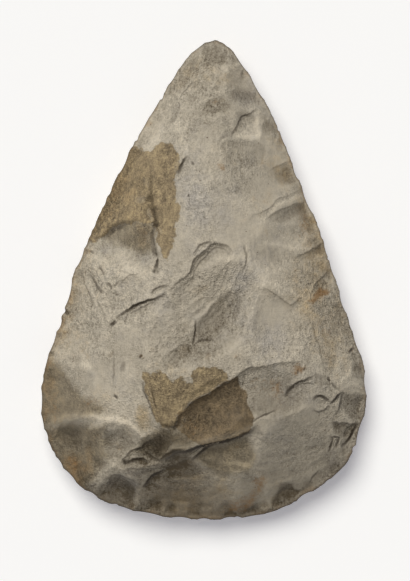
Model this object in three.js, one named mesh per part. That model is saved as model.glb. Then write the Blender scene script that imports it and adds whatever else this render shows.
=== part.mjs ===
// A pointed stone hand axe, flaked on both faces, as it lies on its lower face with its tip towards +Y.
// The origin is under the middle of its outline, on the surface that it lies on, and Z is up.
import * as THREE from "three";

// Driving dimensions, in millimetres.
const LENGTH = 180; // from the butt to the tip, along Y
const WIDTH = 122.6; // across the widest part, along X
const UPPER_RISE = 29; // crown of the upper face above the cutting edge, before its scars
const EDGE_HEIGHT = 11; // cutting edge above the surface that the axe lies on
const EDGE_WAVE = 0.9; // how far the cutting edge winds up and down
const REST_WIDTH = 30; // across the small flat that the axe rests on
const SCAR_UNIT = 1.8; // unit of the lengths and widths of the flake scars
const SCAR_DEPTH = 1.6; // depth of a flake scar of the upper face that is listed as 1 deep
const STEP_FALL = 1.2; // how far a step takes to fall most of its drop

// How fully the two faces swell between the edge and the crown: 2 is a plain lens, and more is fuller.
const FULLNESS = 2.3;

// A scar goes no deeper than this share of the stone that is left above the edge.
const DEEPEST_SHARE = 0.62;

// The mesh has this many rings of triangles from the crown to the edge, on each face.
const RINGS = 28;

// The plan is drawn this many units wide and long, and WIDTH and LENGTH stretch it to size.
const PLAN_WIDTH = 68.1;
const PLAN_LENGTH = 100;

// A place on the plan as a point in millimetres.
const place = (across, along) => new THREE.Vector2((across * WIDTH) / PLAN_WIDTH, (along * LENGTH) / PLAN_LENGTH);

// The thickest place of both faces.
const CROWN = place(1, -15);

// The outline on the plan, clockwise from the tip as seen from above.
const OUTLINE_STATIONS = [
  [2.4, 50],
  [5.6, 48.2],
  [10.1, 42],
  [15.0, 33],
  [19.7, 21.5],
  [24.0, 11],
  [27.6, 0],
  [31.0, -10.5],
  [33.5, -18],
  [34.05, -24],
  [32.9, -31],
  [29.9, -38],
  [23.2, -43.8],
  [13.5, -48.6],
  [1, -50],
  [-12.5, -48.6],
  [-21.2, -45.9],
  [-28.2, -40.6],
  [-32.4, -33.5],
  [-34.05, -25.5],
  [-32.7, -17],
  [-29.9, -8.5],
  [-26.8, 2.2],
  [-23.9, 8.8],
  [-20.2, 17],
  [-15.1, 27.5],
  [-9.6, 36.8],
  [-5.2, 44],
  [-0.9, 48.8],
];

// Flake scars of the upper face. at is the middle on the plan, half the half length and half width in scar
// units, turn the angle of the length from +X in degrees, and deep the depth as a multiple of SCAR_DEPTH.
const UPPER_SCARS = [
  { at: [2.6, 46.5], half: [3.4, 4.6], turn: 0, deep: 1 },
  { at: [-4.4, 42], half: [6, 3], turn: 55, deep: 0.9 },
  { at: [8.6, 39], half: [6, 3.6], turn: -60, deep: 1.3 },
  { at: [-8.4, 34.8], half: [4.6, 3.4], turn: 60, deep: 1.1 },
  { at: [-12.6, 30.6], half: [5.4, 3], turn: 60, deep: 1.1 },
  { at: [10.2, 32], half: [4.4, 3.6], turn: -60, deep: 1.4 },
  { at: [11.5, 22.5], half: [11, 7], turn: -62, deep: 1.9 },
  { at: [-17, 19], half: [10.5, 5.6], turn: 66, deep: 1.4 },
  { at: [19, 10.2], half: [8.6, 4.8], turn: 25, deep: 1.9 },
  { at: [-15.8, 7], half: [7, 5], turn: 15, deep: 2 },
  { at: [18, 2.4], half: [10, 6], turn: -30, deep: 1.8 },
  { at: [-25, -3], half: [8, 4], turn: 62, deep: 1.4 },
  { at: [-16.4, -3.6], half: [5.6, 3.6], turn: 30, deep: 1.1 },
  { at: [1, -7.5], half: [15, 8.5], turn: 40, deep: 2.9 },
  { at: [14.4, -8.6], half: [7.4, 9], turn: 0, deep: 1.8 },
  { at: [27, -9], half: [7.6, 4], turn: -70, deep: 1.4 },
  { at: [-25.5, -12.5], half: [7, 4.4], turn: 68, deep: 1.1 },
  { at: [-28.4, -22.8], half: [6.4, 6.4], turn: 0, deep: 1.8 },
  { at: [-26, -35.4], half: [7.4, 7.2], turn: 0, deep: 2.3 },
  { at: [-17.2, -34.2], half: [5.2, 5], turn: 0, deep: 1.8 },
  { at: [-11, -35.2], half: [5, 3.4], turn: 20, deep: 1.8 },
  { at: [-17.4, -44.4], half: [4.4, 4.2], turn: 0, deep: 2.3 },
  { at: [2.4, -26.2], half: [8.4, 5.4], turn: 38, deep: 2.3 },
  { at: [14.6, -23.6], half: [8, 5], turn: 8, deep: 1.4 },
  { at: [-3.5, -43.6], half: [12, 7.6], turn: -6, deep: 2.9 },
  { at: [4.8, -36.6], half: [7, 4], turn: 18, deep: 1.4 },
  { at: [20.6, -36], half: [12.5, 8.6], turn: 35, deep: 2.3 },
  { at: [31, -26.6], half: [3.4, 5], turn: 0, deep: 1.4 },
  { at: [30, -33.8], half: [4, 3.6], turn: 50, deep: 1.8 },
  { at: [17.4, -45.2], half: [4.2, 3.2], turn: 30, deep: 1.8 },
  { at: [10.6, -44.2], half: [4.6, 6], turn: 0, deep: 1.1 },
];

// Steps where a flake snapped off short. path is the top of the step on the plan, with the lower ground on
// its left, drop its height in millimetres, and run how far off the ground is level again, in scar units.
const UPPER_STEPS = [
  { path: [[6.4, 5.2], [3.4, 7.4], [0.5, 6.6], [-1.8, 4.4], [-3, 1.5], [-5.3, -0.4], [-7.4, -2.2]],
    drop: 2.2, run: 3.4 },
  { path: [[-7.8, -2.3], [-11.8, -4], [-15.3, -6], [-18.6, -8]], drop: 1.6, run: 2.4 },
  { path: [[20.5, -17], [13, -17.6], [9.2, -18.1], [5.2, -20.7], [0.4, -23.5], [-3.5, -26.3], [-6.6, -30.8]],
    drop: 2.6, run: 5.5 },
  { path: [[10.9, -29.6], [6.9, -32], [1.3, -33.3], [-4.4, -34.9], [-8.7, -37], [-12.7, -37.5], [-16.8, -37.6]],
    drop: 3, run: 4 },
  { path: [[-33.4, -31], [-28.3, -29.2], [-23.1, -28.6], [-17.9, -29.7], [-13.2, -31.2], [-11.4, -33.2]],
    drop: 2.8, run: 5 },
  { path: [[-12.2, -41.7], [-14.6, -40.3], [-17.4, -40], [-20, -40.9], [-21.6, -43.4]], drop: 1.8, run: 3 },
];

// The lower face, which is plainer, has large scars struck from all round the edge and small ones between.
const LOWER_LARGE_SCARS = 13;
const LOWER_SMALL_SCARS = 26;

const outline = new THREE.CatmullRomCurve3(
  OUTLINE_STATIONS.map(([across, along]) => new THREE.Vector3(across, along, 0)),
  true,
  "centripetal",
);
outline.arcLengthDivisions = 2000;

// A point of the outline, at this share of the way round.
function outlinePoint(share) {
  const p = outline.getPointAt(share % 1);
  return place(p.x, p.y);
}

// A steady variation from -1 to 1 for the scar of this number.
const vary = (number, kind) => Math.sin(number * 2.399 + kind * 1.7);

// A ring of scars of the lower face, each lying along the line from the edge to the crown.
function scarsRoundEdge({ count, middle, halfLength, halfWidth, deep }) {
  return Array.from({ length: count }, (_, number) => {
    const strike = outlinePoint((number + 0.35 * vary(number, 1) + 1) / count);
    const inward = CROWN.clone().sub(strike);
    return {
      centre: strike.clone().addScaledVector(inward, middle + 0.04 * vary(number, 2)),
      halfSize: [inward.length() * halfLength, halfWidth * SCAR_UNIT * (1 + 0.2 * vary(number, 3))],
      turn: THREE.MathUtils.radToDeg(inward.angle()) + 8 * vary(number, 4),
      deep: deep * (1 + 0.3 * vary(number, 5)),
    };
  });
}

const LOWER_SCARS = [
  ...scarsRoundEdge({ count: LOWER_LARGE_SCARS, middle: 0.36, halfLength: 0.37, halfWidth: 6.4, deep: 1.4 }),
  ...scarsRoundEdge({ count: LOWER_SMALL_SCARS, middle: 0.1, halfLength: 0.15, halfWidth: 2.8, deep: 0.9 }),
];

// A scar of the list above, with its centre and half sizes in millimetres.
const drawnScar = ({ at, half, turn, deep }) => ({
  centre: place(...at),
  halfSize: half.map((units) => units * SCAR_UNIT),
  turn,
  deep: deep * SCAR_DEPTH,
});

// Depth of one bowl-shaped scar at a point.
function bowlDepth({ centre, halfSize, turn, deep }, point) {
  const local = point.clone().sub(centre);
  local.rotateAround(new THREE.Vector2(), -THREE.MathUtils.degToRad(turn));
  const away = (local.x / halfSize[0]) ** 2 + (local.y / halfSize[1]) ** 2;
  return deep * Math.max(0, 1 - away);
}

// Depth below one step at a point. The step fades out towards both its ends.
function stepDepth({ path, drop, run }, point) {
  let nearest = Infinity;
  let depth = 0;
  for (let i = 0; i + 1 < path.length; i++) {
    const start = place(...path[i]);
    const along = place(...path[i + 1]).sub(start);
    const from = point.clone().sub(start);
    const share = THREE.MathUtils.clamp(from.dot(along) / along.lengthSq(), 0, 1);
    const distance = from.clone().addScaledVector(along, -share).length();
    if (distance < nearest) {
      nearest = distance;
      const isLow = along.cross(from) > 0;
      const fade = Math.sin((Math.PI * (i + share)) / (path.length - 1));
      const fallen = 1 - Math.exp(-distance / STEP_FALL);
      const level = Math.exp(-((distance / (run * SCAR_UNIT)) ** 2));
      depth = isLow ? drop * fade * fallen * level : 0;
    }
  }
  return depth;
}

// What the scars and steps took off a face at a point.
function taken(scars, steps, point) {
  const deepestBowl = Math.max(0, ...scars.map((scar) => bowlDepth(scar, point)));
  const belowSteps = steps.reduce((sum, step) => sum + stepDepth(step, point), 0);
  return deepestBowl + belowSteps;
}

// Heights of the two faces over a point. toEdge is 0 at the crown and 1 on the cutting edge, and round is
// the share of the way round the outline.
const restShare = REST_WIDTH / WIDTH;
const lowerRise = EDGE_HEIGHT / (1 - restShare ** FULLNESS);

function edgeHeight(toEdge, round) {
  const turn = 2 * Math.PI * round;
  return EDGE_HEIGHT + EDGE_WAVE * toEdge ** 4 * (Math.sin(6 * turn) + 0.5 * Math.sin(17 * turn + 1));
}

const upperScars = UPPER_SCARS.map(drawnScar);

function upperHeight(point, toEdge, round) {
  const blank = UPPER_RISE * (1 - toEdge ** FULLNESS);
  const cut = Math.min(taken(upperScars, UPPER_STEPS, point), DEEPEST_SHARE * blank);
  return edgeHeight(toEdge, round) + blank - cut;
}

function lowerHeight(point, toEdge, round) {
  const blank = lowerRise * (1 - toEdge ** FULLNESS);
  const cut = Math.min(taken(LOWER_SCARS, [], point), DEEPEST_SHARE * blank);
  return Math.max(0, edgeHeight(toEdge, round) - blank + cut);
}

// The vertices of one face, ring by ring: ring r has 6 r of them, and the last ring is the cutting edge.
function faceVertices(height) {
  const vertices = [];
  for (let ring = 0; ring <= RINGS; ring++) {
    const count = Math.max(1, 6 * ring);
    const toEdge = ring / RINGS;
    for (let i = 0; i < count; i++) {
      const round = i / count;
      const point = CROWN.clone().lerp(outlinePoint(round), toEdge);
      vertices.push(point.x, point.y, height(point, toEdge, round));
    }
  }
  return vertices;
}

// The place of a vertex in the list of a face's vertices.
const vertexIndex = (ring, i) => (ring === 0 ? 0 : 1 + 3 * ring * (ring - 1) + (i % (6 * ring)));

// The triangles between the rings of one face, clockwise as seen from above, as the outline runs.
function faceTriangles() {
  const triangles = [];
  for (let ring = 1; ring <= RINGS; ring++) {
    for (let sector = 0; sector < 6; sector++) {
      for (let i = 0; i < ring; i++) {
        const outer = sector * ring + i;
        const inner = sector * (ring - 1) + i;
        triangles.push([vertexIndex(ring, outer), vertexIndex(ring, outer + 1), vertexIndex(ring - 1, inner)]);
        if (i + 1 < ring) {
          triangles.push([
            vertexIndex(ring, outer + 1),
            vertexIndex(ring - 1, inner + 1),
            vertexIndex(ring - 1, inner),
          ]);
        }
      }
    }
  }
  return triangles;
}

// The closed stone: the two faces share the vertices of the cutting edge.
function axeGeometry() {
  const upper = faceVertices(upperHeight);
  const lower = faceVertices(lowerHeight);
  const perFace = upper.length / 3;
  const insideEdge = perFace - 6 * RINGS;
  const lowerIndex = (v) => (v < insideEdge ? perFace + v : v);
  const triangles = faceTriangles();
  const geometry = new THREE.BufferGeometry();
  geometry.setAttribute(
    "position",
    new THREE.Float32BufferAttribute([...upper, ...lower.slice(0, insideEdge * 3)], 3),
  );
  geometry.setIndex([
    ...triangles.flatMap(([a, b, c]) => [a, c, b]),
    ...triangles.flatMap((t) => t.map(lowerIndex)),
  ]);
  geometry.computeVertexNormals();
  return geometry;
}

function handAxe() {
  const stone = new THREE.MeshStandardMaterial({ color: 0xa89f8c, roughness: 0.75, metalness: 0 });
  const mesh = new THREE.Mesh(axeGeometry(), stone);
  mesh.name = "hand_axe";
  return mesh;
}

const group = new THREE.Group();
group.add(handAxe());

export default group;
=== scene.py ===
import math

import bpy
import numpy as np
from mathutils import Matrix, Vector


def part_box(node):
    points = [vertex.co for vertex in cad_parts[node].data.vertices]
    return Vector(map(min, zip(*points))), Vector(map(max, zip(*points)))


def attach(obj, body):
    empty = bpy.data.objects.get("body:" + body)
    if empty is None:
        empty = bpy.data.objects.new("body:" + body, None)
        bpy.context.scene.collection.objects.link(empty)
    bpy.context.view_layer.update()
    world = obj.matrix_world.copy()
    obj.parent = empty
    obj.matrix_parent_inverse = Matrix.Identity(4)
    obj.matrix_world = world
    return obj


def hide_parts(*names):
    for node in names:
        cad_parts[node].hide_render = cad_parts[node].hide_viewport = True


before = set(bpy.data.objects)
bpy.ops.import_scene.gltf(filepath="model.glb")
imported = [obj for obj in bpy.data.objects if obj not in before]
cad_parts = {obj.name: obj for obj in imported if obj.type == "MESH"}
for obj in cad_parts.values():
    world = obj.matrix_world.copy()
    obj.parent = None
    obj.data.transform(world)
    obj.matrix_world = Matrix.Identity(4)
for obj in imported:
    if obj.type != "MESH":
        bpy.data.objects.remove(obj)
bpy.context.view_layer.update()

# A pointed flint hand axe lying on its lower face, seen from above.
# The plan is measured in hundredths of the axe's length: x to the right, y towards the tip,
# from the middle of the outline. Heights and depths are in millimetres, and turns in degrees.

MM = 0.001
low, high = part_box("hand_axe")
LENGTH = (high[1] - low[1]) / MM
WIDTH = (high[0] - low[0]) / MM
PLAN_WIDTH = 68.1
PLAN_LENGTH = 100

# The same sizes as the solid has.
UPPER_RISE = 29
EDGE_HEIGHT = 11
EDGE_WAVE = 0.9
REST_WIDTH = 30
FULLNESS = 2.3
DEEPEST_SHARE = 0.62
CROWN = np.array([1.0, -15.0])

# Rings of triangles from the crown to the edge, on the face that is seen and on the hidden one.
UPPER_RINGS = 160
LOWER_RINGS = 80

# How many times its listed depth a scar is cut.
SCAR_CUT = 1.6
SMALL_SCAR_CUT = 1.8

# Nothing is cut deeper than this share of the blank, and the crown is rounded off below the solid's top.
CUT_LIMIT = 0.85
CROWN_ROUNDING = 0.15

# How deep small flat chips are cut, and how wide their border is on the plan.
FACET_CUT = 0.25
FACET_BORDER = 0.4

# Heights of the broad swells, the crumpled ground and the grain.
SWELLS = 0.14
CRUMPLE = 0.30
GRAIN = 0.05

# How far the borders of scars, steps and stains wander on the plan.
WANDER = 0.24
STAIN_WANDER = 0.3
HIDDEN_WANDER = 0.3

# Nibbles along the edge: their shortest and longest length, and greatest depth, on the plan.
NIBBLE_LENGTHS = (0.5, 6.5)
NIBBLE_DEPTH = 0.5

# Small scars struck in from the edge.
CHIP_COUNT = 150

# Painted shade at the edge: how dark it is, how much more so by the butt, and how far in it reaches.
EDGE_SHADE = 0.10
BUTT_SHADE = 0.24
SHADE_REACH = 1.8

# How often heights are evened out to tell hollows from raised ground.
RELIEF_ROUNDS = 40

SEED = 11

# The outline, clockwise from the tip.
OUTLINE_STATIONS = [
    (2.4, 50), (5.6, 48.2), (10.1, 42), (15, 33), (19.7, 21.5), (24, 11), (27.6, 0), (31, -10.5),
    (33.5, -18), (34.05, -24), (32.9, -31), (29.9, -38), (23.2, -43.8), (13.5, -48.6), (1, -50),
    (-12.5, -48.6), (-21.2, -45.9), (-28.2, -40.6), (-32.4, -33.5), (-34.05, -25.5), (-32.7, -17),
    (-29.9, -8.5), (-26.8, 2.2), (-23.9, 8.8), (-20.2, 17), (-15.1, 27.5), (-9.6, 36.8), (-5.2, 44),
    (-0.9, 48.8),
]

# Main flake scars of the upper face: middle, half length and half width, turn of the length, depth.
UPPER_SCARS = [
    (2.6, 46.5, 3.4, 4.6, 0, 1), (-4.4, 42, 6, 3, 55, 0.9), (8.6, 39, 6, 3.6, -60, 1.3),
    (-8.4, 34.8, 4.6, 3.4, 60, 1.1), (-12.6, 30.6, 5.4, 3, 60, 1.1), (10.2, 32, 4.4, 3.6, -60, 1.4),
    (11.5, 22.5, 11, 7, -62, 1.9), (-17, 19, 10.5, 5.6, 66, 1.4), (19, 10.2, 8.6, 4.8, 25, 1.9),
    (-15.8, 7, 7, 5, 15, 2), (18, 2.4, 10, 6, -30, 1.8), (-25, -3, 8, 4, 62, 1.4),
    (-16.4, -3.6, 5.6, 3.6, 30, 1.1), (1, -7.5, 15, 8.5, 40, 2.9), (14.4, -8.6, 7.4, 9, 0, 1.8),
    (27, -9, 7.6, 4, -70, 1.4), (-25.5, -12.5, 7, 4.4, 68, 1.1), (-28.4, -22.8, 6.4, 6.4, 0, 1.8),
    (-26, -35.4, 7.4, 7.2, 0, 2.3), (-17.2, -34.2, 5.2, 5, 0, 1.8), (-11, -35.2, 5, 3.4, 20, 1.8),
    (-17.4, -44.4, 4.4, 4.2, 0, 2.3), (2.4, -26.2, 8.4, 5.4, 38, 2.3), (14.6, -23.6, 8, 5, 8, 1.4),
    (-3.5, -43.6, 12, 7.6, -6, 2.9), (4.8, -36.6, 7, 4, 18, 1.4), (20.6, -36, 12.5, 8.6, 35, 2.3),
    (31, -26.6, 3.4, 5, 0, 1.4), (30, -33.8, 4, 3.6, 50, 1.8), (17.4, -45.2, 4.2, 3.2, 30, 1.8),
    (10.6, -44.2, 4.6, 6, 0, 1.1),
]

# Small scars that lie inside the main ones, in the same form.
SMALL_SCARS = [
    (2.2, 46.8, 2.6, 3.6, 0, 0.5), (-1.6, 38.4, 3.2, 2.2, 40, 0.35), (-3.6, 40.6, 2.4, 1.6, 60, 0.3),
    (8.8, 32, 3.3, 2.7, -55, 0.7), (17.6, 21.6, 3.4, 2, 20, 0.6), (17.6, 14.2, 5, 1.7, 24, 0.6),
    (22.6, 6.6, 2.6, 2, 60, 0.8), (13.8, 4.6, 3.4, 3, 0, 0.4), (24.6, -2.2, 2.6, 1.6, 50, 0.6),
    (3.2, -7.6, 8.2, 2.9, 47, 1.3), (-5, -15.6, 4.2, 2, 40, 0.7), (-23.8, -16.6, 1.2, 1.6, 15, 0.35),
    (-26.6, -16.6, 1.5, 1.3, 0, 0.3), (24.1, -25.7, 1.2, 1, 0, 0.35), (29.4, -18.3, 1.4, 2.4, -12, 0.5),
    (-27.8, -32.6, 3.3, 3.3, 0, 0.9), (-17.4, -33.4, 3.6, 2.7, -20, 0.5), (2.4, -39.2, 3.6, 1.8, -30, 0.6),
    (16.2, -44.4, 3.2, 2.4, 30, 0.9), (30.8, -31.4, 2.2, 1.4, 30, 0.6), (5.2, -47.6, 2.6, 1.8, 0, 0.8),
    (-22.3, -46.2, 2.4, 1.4, -30, 0.5), (11.6, -47.2, 2.4, 1.4, 10, 0.5),
]

# Rows of scars on the hidden face: how many go round, how far in their middles are, half length, half width
# and depth. The first two lengths are shares of the way from the edge to the crown.
LOWER_SCAR_ROWS = [
    (13, 0.36, 0.37, 6.4, 1.4),
    (26, 0.1, 0.15, 2.8, 0.9),
]

# The middle of the longest step, which also parts the tan stain from the brown one.
LONG_STEP = [(5.2, -20.7), (2.6, -22.4), (0.4, -23.5), (-2.2, -24.9), (-3.5, -26.3), (-4.8, -27.7)]

# Steps where a flake snapped off short: drop, how far it takes to fall, how far on the ground is level again,
# how dark the painted shadow at its edge is, and the path along its top, with the lower ground on the left.
STEPS = [
    (2.2, 0.5, 3.4, 0.5, [(6.4, 5.2), (4.9, 6.9), (3.4, 7.4), (1.35, 7.1), (-0.3, 5.8), (-1.8, 4.4),
        (-2.6, 2.9), (-3, 1.5), (-3.85, 0.6), (-5.3, -0.4), (-7.4, -2.2)]),
    (0.9, 0.3, 0.9, 0.6, [(2.6, 7.9), (0.9, 7.9), (-0.5, 7.4), (-1.5, 6.2), (-2.2, 5)]),
    (0.8, 0.3, 0.9, 0.6, [(-7.1, -1), (-8.6, -1.1), (-9.6, -1.5), (-10.5, -2.2), (-11, -2.8)]),
    (1.6, 0.35, 2.4, 0.95, [(-7.8, -2.5), (-9.2, -3), (-10.6, -3.6), (-12, -4), (-13.4, -4.7), (-15, -5.7),
        (-16.4, -6.7), (-18.2, -7.8)]),
    (2.6, 0.7, 5.5, 0.42, [(20.5, -17), (16.5, -17), (13, -17.6), (9.2, -18.1), (7.8, -19), *LONG_STEP,
        (-5.7, -29.2), (-6.6, -30.8)]),
    (3, 0.4, 4, 1, [(10.9, -29.6), (9.5, -30.9), (6.9, -32), (4.3, -32.8), (2, -33.4), (0.4, -33.6),
        (-1.2, -34.1), (-2.7, -34.6), (-4, -35), (-5.3, -35.3), (-6.4, -35.8), (-7.4, -36.4),
        (-9.4, -37.2)]),
    (0.5, 0.3, 1.2, 0.45, [(5.6, 4.6), (4.6, 6), (3.2, 6.4), (1.5, 6), (0.2, 4.8), (-1, 3.4), (-1.8, 1.9),
        (-2.3, 0.6), (-3.4, -0.6), (-5, -1.5)]),
    (0.5, 0.3, 1, 0.5, [(-9.6, -4.2), (-11.6, -4.9), (-13.8, -6.1), (-15.6, -7.2)]),
    (1.3, 0.4, 1.6, 0.9, [(2.8, -33.3), (1.4, -33.9), (0, -34.7), (-1.1, -35.7), (-2.6, -37)]),
    (1.4, 0.4, 2, 0.9, [(-8.1, -38.8), (-10.3, -40), (-11.6, -41.2), (-12.7, -43)]),
    (0.7, 0.25, 1.4, 0.9, [(-11.2, -37.6), (-12.2, -37.1), (-13.2, -36.9), (-14.4, -37.1), (-15.7, -37.4),
        (-17, -37.5)]),
    (0.5, 0.3, 1, 0.5, [(-7.9, -36.9), (-9.5, -36.6), (-10.5, -36.2), (-11.6, -35.7), (-12.6, -35.6)]),
    (0.5, 0.3, 1.2, 0.4, [(-8.8, -38.4), (-11, -38.8), (-13.6, -39), (-16.2, -38.9)]),
    (0.7, 0.3, 1.4, 0.65, [(11.2, 35.9), (9.4, 34.8), (8, 34.1), (7.1, 33.1), (6.4, 31.6), (5.4, 29.8)]),
    (0.5, 0.4, 1.5, 0.4, [(-0.7, 41.7), (-2.4, 40.6), (-4, 39), (-5.2, 37.2)]),
    (0.7, 0.6, 2.2, 0.3, [(18.2, 25), (15.6, 24), (13.2, 22.4)]),
    (0.8, 0.4, 1.6, 0.3, [(20.4, 19.4), (17.6, 17.6), (15.6, 16.6), (12.4, 14.1), (10.2, 13.6), (9, 12.2)]),
    (0.9, 0.4, 2.2, 0.3, [(21.2, 16.6), (17.5, 15), (15, 14), (12.8, 12.4)]),
    (1.1, 0.6, 2.4, 0.4, [(25.2, 8.2), (21, 5.9), (18.4, 4.4)]),
    (0.7, 0.3, 1.4, 0.9, [(-3.7, 25.9), (-4.5, 24.2), (-5.4, 22)]),
    (0.6, 0.25, 1.2, 0.85, [(22.6, -19.9), (21.4, -20.2), (20, -20.6), (18.9, -21.1), (17.9, -21.9),
        (17.2, -22.6), (16.4, -24)]),
    (0.3, 0.25, 0.8, 0.5, [(23.2, -21.3), (21.8, -21.2), (20.4, -21.1), (19.2, -21.4)]),
    (0.25, 0.25, 0.8, 0.15, [(22.8, -22.9), (20.8, -22.4), (19.2, -23.1), (18, -24.4)]),
    (0.7, 0.25, 0.8, 0.9, [(26, -25.2), (25, -24.1), (24.1, -23.8), (23.1, -24), (22.2, -24.8)]),
    (0.9, 0.25, 1, 0.95, [(29.2, -22.9), (27.9, -23.6), (26.7, -24.6), (25.6, -25.7)]),
    (0.8, 0.3, 1.4, 0.7, [(28.8, -23), (28.3, -24.8), (27.9, -26.6), (26.8, -28.4)]),
    (0.4, 0.25, 0.7, 0.6, [(25.7, -25.8), (24.7, -26.9), (23.6, -27.2), (22.6, -26.8)]),
    (1, 0.4, 2, 0.5, [(32.6, -29.5), (30.2, -29.7), (26.6, -29.5)]),
    (0.5, 0.25, 1, 0.5, [(24.2, -39.1), (23.3, -40.3), (22.1, -42.3)]),
    (0.7, 0.4, 2, 0.75, [(-10.2, -32.4), (-11.4, -33.2), (-12.6, -34.2), (-14.2, -35), (-15.4, -35.8),
        (-16.8, -37.2)]),
    (1.5, 0.7, 3, 0.35, [(-12.7, -42.4), (-14.4, -41.4), (-16, -40.7), (-17.4, -40.3), (-19, -40.6),
        (-20.6, -43.4)]),
    (0.9, 0.4, 1.6, 0.45, [(-20.3, -2.3), (-21.6, -1.4), (-22.6, 0.4), (-24, 2.6)]),
    (0.6, 0.4, 1.2, 0.35, [(-22, -5.2), (-23.4, -3.2), (-24.6, 0), (-25.4, 2.2)]),
    (0.6, 0.4, 1.4, 0.4, [(-13.2, 1.3), (-15.2, 1), (-17.2, -0.6)]),
    (0.6, 0.4, 1.6, 0.3, [(22, -4.4), (19.8, -3.9), (19, -4.6), (18, -5.2), (16, -3.8), (14, -2.4),
        (12, -1.5)]),
    (0.9, 0.4, 1.6, 0.5, [(25.8, 1.6), (24.2, 0.2), (23, -1.4), (21.8, -3.4)]),
    (2.6, 0.7, 5, 0.15, [(-33.4, -30.4), (-30.6, -29.3), (-28.3, -28.6), (-25.7, -28.3), (-23.1, -28.5),
        (-20.9, -29.2), (-18.4, -29.4), (-16, -30), (-14.2, -30.9), (-12.2, -32.4)]),
]

# Thin cracks and grooves: half width, depth, how dark their painted shadow is, path.
CRACKS = [
    (0.4, 0.6, 0.55, [(-10.9, 22), (-10.9, 18), (-10.4, 14.8), (-10, 11.1), (-10.5, 9.4), (-9.8, 6.4)]),
    (0.35, 0.6, 0.9, [(-10.4, 9), (-9.9, 7), (-9.6, 4.6), (-9.8, 1.6)]),
    (0.7, 0.4, 0.6, [(-10.9, 17.8), (-10.8, 16)]),
    (0.5, 0.4, 0.8, [(-10.6, 10.8), (-9.2, 11.6)]),
    (0.6, 0.5, 0.5, [(-9.9, 7), (-9.6, 4.6)]),
    (0.7, 0.5, 0.6, [(-21.2, 8.4), (-19.3, 10.2), (-17.5, 11.6), (-15.6, 12.2), (-13.4, 12.2)]),
    (0.45, 0.5, 0.8, [(-10.4, 2.2), (-9.4, 1.6)]),
    (0.2, 0.4, 0.8, [(-1.5, -8.3), (-1.6, -10), (-1.9, -11.8), (-2.1, -13.4)]),
    (0.2, 0.3, 0.6, [(-1.9, -12.9), (-0.2, -12.2), (1.8, -12)]),
    (0.22, 0.3, 0.6, [(-12.6, -20.6), (-12.2, -23), (-10.8, -25.6), (-9.6, -28.4)]),
    (0.22, 0.3, 0.45, [(-10.8, -21.6), (-10, -24.2), (-9, -26.4)]),
    (0.35, 0.3, 0.8, [(-18.4, -23.9), (-17.3, -24.1)]),
    (0.45, 0.4, 0.9, [(-13.1, -15.2), (-12.5, -15.5)]),
    (0.2, 0.2, 0.35, [(-22, -3.4), (-21, -5.6), (-19.8, -7.8)]),
    (0.2, 0.3, 0.7, [(9.6, -28.9), (11.5, -28.2), (13, -27.5), (15, -26.6)]),
    (0.2, 0.2, 0.5, [(-6.9, -30.4), (-5.2, -30), (-4.6, -29)]),
    (0.3, 0.3, 0.8, [(19.2, -18.8), (19.6, -18.9)]),
    (0.3, 0.3, 0.8, [(20.6, -18.2), (20.9, -18.4)]),
    (0.22, 0.3, 0.55, [(8.3, 7), (8.8, 5), (8.4, 2.9), (8.1, 1.6)]),
    (0.2, 0.3, 0.25, [(21.6, -5.6), (22.2, -9.2), (23.4, -12.9), (24.3, -15.4), (25, -18.2)]),
    (0.45, 0.5, 0.9, [(-19.1, -9.6), (-18, -8.4)]),
    (0.22, 0.3, 0.2, [(-18.1, -15), (-18.3, -18.5), (-18.5, -22.4)]),
    (0.22, 0.4, 0.8, [(28.7, -32.5), (27.4, -32.5), (26.2, -32.7)]),
    (0.22, 0.4, 0.8, [(28.3, -32.2), (27.8, -33.6), (27.2, -34.8)]),
    (0.22, 0.4, 0.8, [(27, -32.6), (26.5, -33.9), (25.8, -35.6)]),
    (0.3, 0.3, 0.9, [(31.4, -14), (30.2, -15.5)]),
    (0.34, 0.4, 1, [(32.4, -29.4), (31.3, -31.6), (30.2, -33.1), (28.4, -34.7)]),
    (0.25, 0.3, 0.4, [(25.2, -19.6), (26.2, -20.8), (27.4, -22), (28.6, -22.6)]),
    (0.35, 0.3, 0.9, [(25.4, -20), (26.1, -20.9)]),
    (0.5, 0.2, 0.2, [(-9.1, -31), (-9, -33.6), (-8.9, -35.2), (-8.7, -37.6)]),
    (0.3, 0.3, 0.7, [(-8.8, -29.6), (-7.4, -29.9), (-6.1, -30.3), (-5.3, -29.2), (-4.7, -28),
        (-4.2, -27.2)]),
    (0.36, 0.3, 0.9, [(-4.2, -34.9), (-5.6, -35.3), (-6.8, -35.8), (-7.8, -36.4), (-8.6, -36.9),
        (-9.8, -37.3)]),
    (0.45, 0.3, 0.9, [(-16.6, -37.6), (-15.9, -37.2)]),
    (0.25, 0.2, 0.6, [(-23.4, 1.8), (-22.4, -0.4), (-21.5, -1.9), (-20.5, -2.5)]),
    (0.3, 0.2, 0.5, [(-21.7, 3.2), (-21, 1.9), (-20.4, 1)]),
    (0.3, 0.2, 0.6, [(-23.6, 6.4), (-22.4, 5.8)]),
    (0.3, 0.2, 0.7, [(-18.7, -1.9), (-19.4, -1), (-20.2, -0.6)]),
    (0.22, 0.2, 0.5, [(-18.6, -1.6), (-18, -0.8), (-17, -0.2)]),
    (0.3, 0.4, 0.7, [(-29, -6), (-28.5, -6.4), (-28.2, -7)]),
    (0.5, 0.3, 0.4, [(-16.3, -16.8), (-16.6, -19)]),
    (0.3, 0.4, 0.6, [(-2.4, 24.3), (-2, 24)]),
    (0.3, 0.4, 1, [(-3, 17.4), (-2.8, 17)]),
    (0.25, 0.2, 0.25, [(-7.8, 31.8), (-6, 34), (-5.2, 35.7), (-5.4, 37.6), (-7.4, 38.6), (-9.4, 38)]),
    (0.25, 0.2, 0.3, [(3, 27.4), (4.2, 29.2), (5.5, 30.4)]),
]

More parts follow.
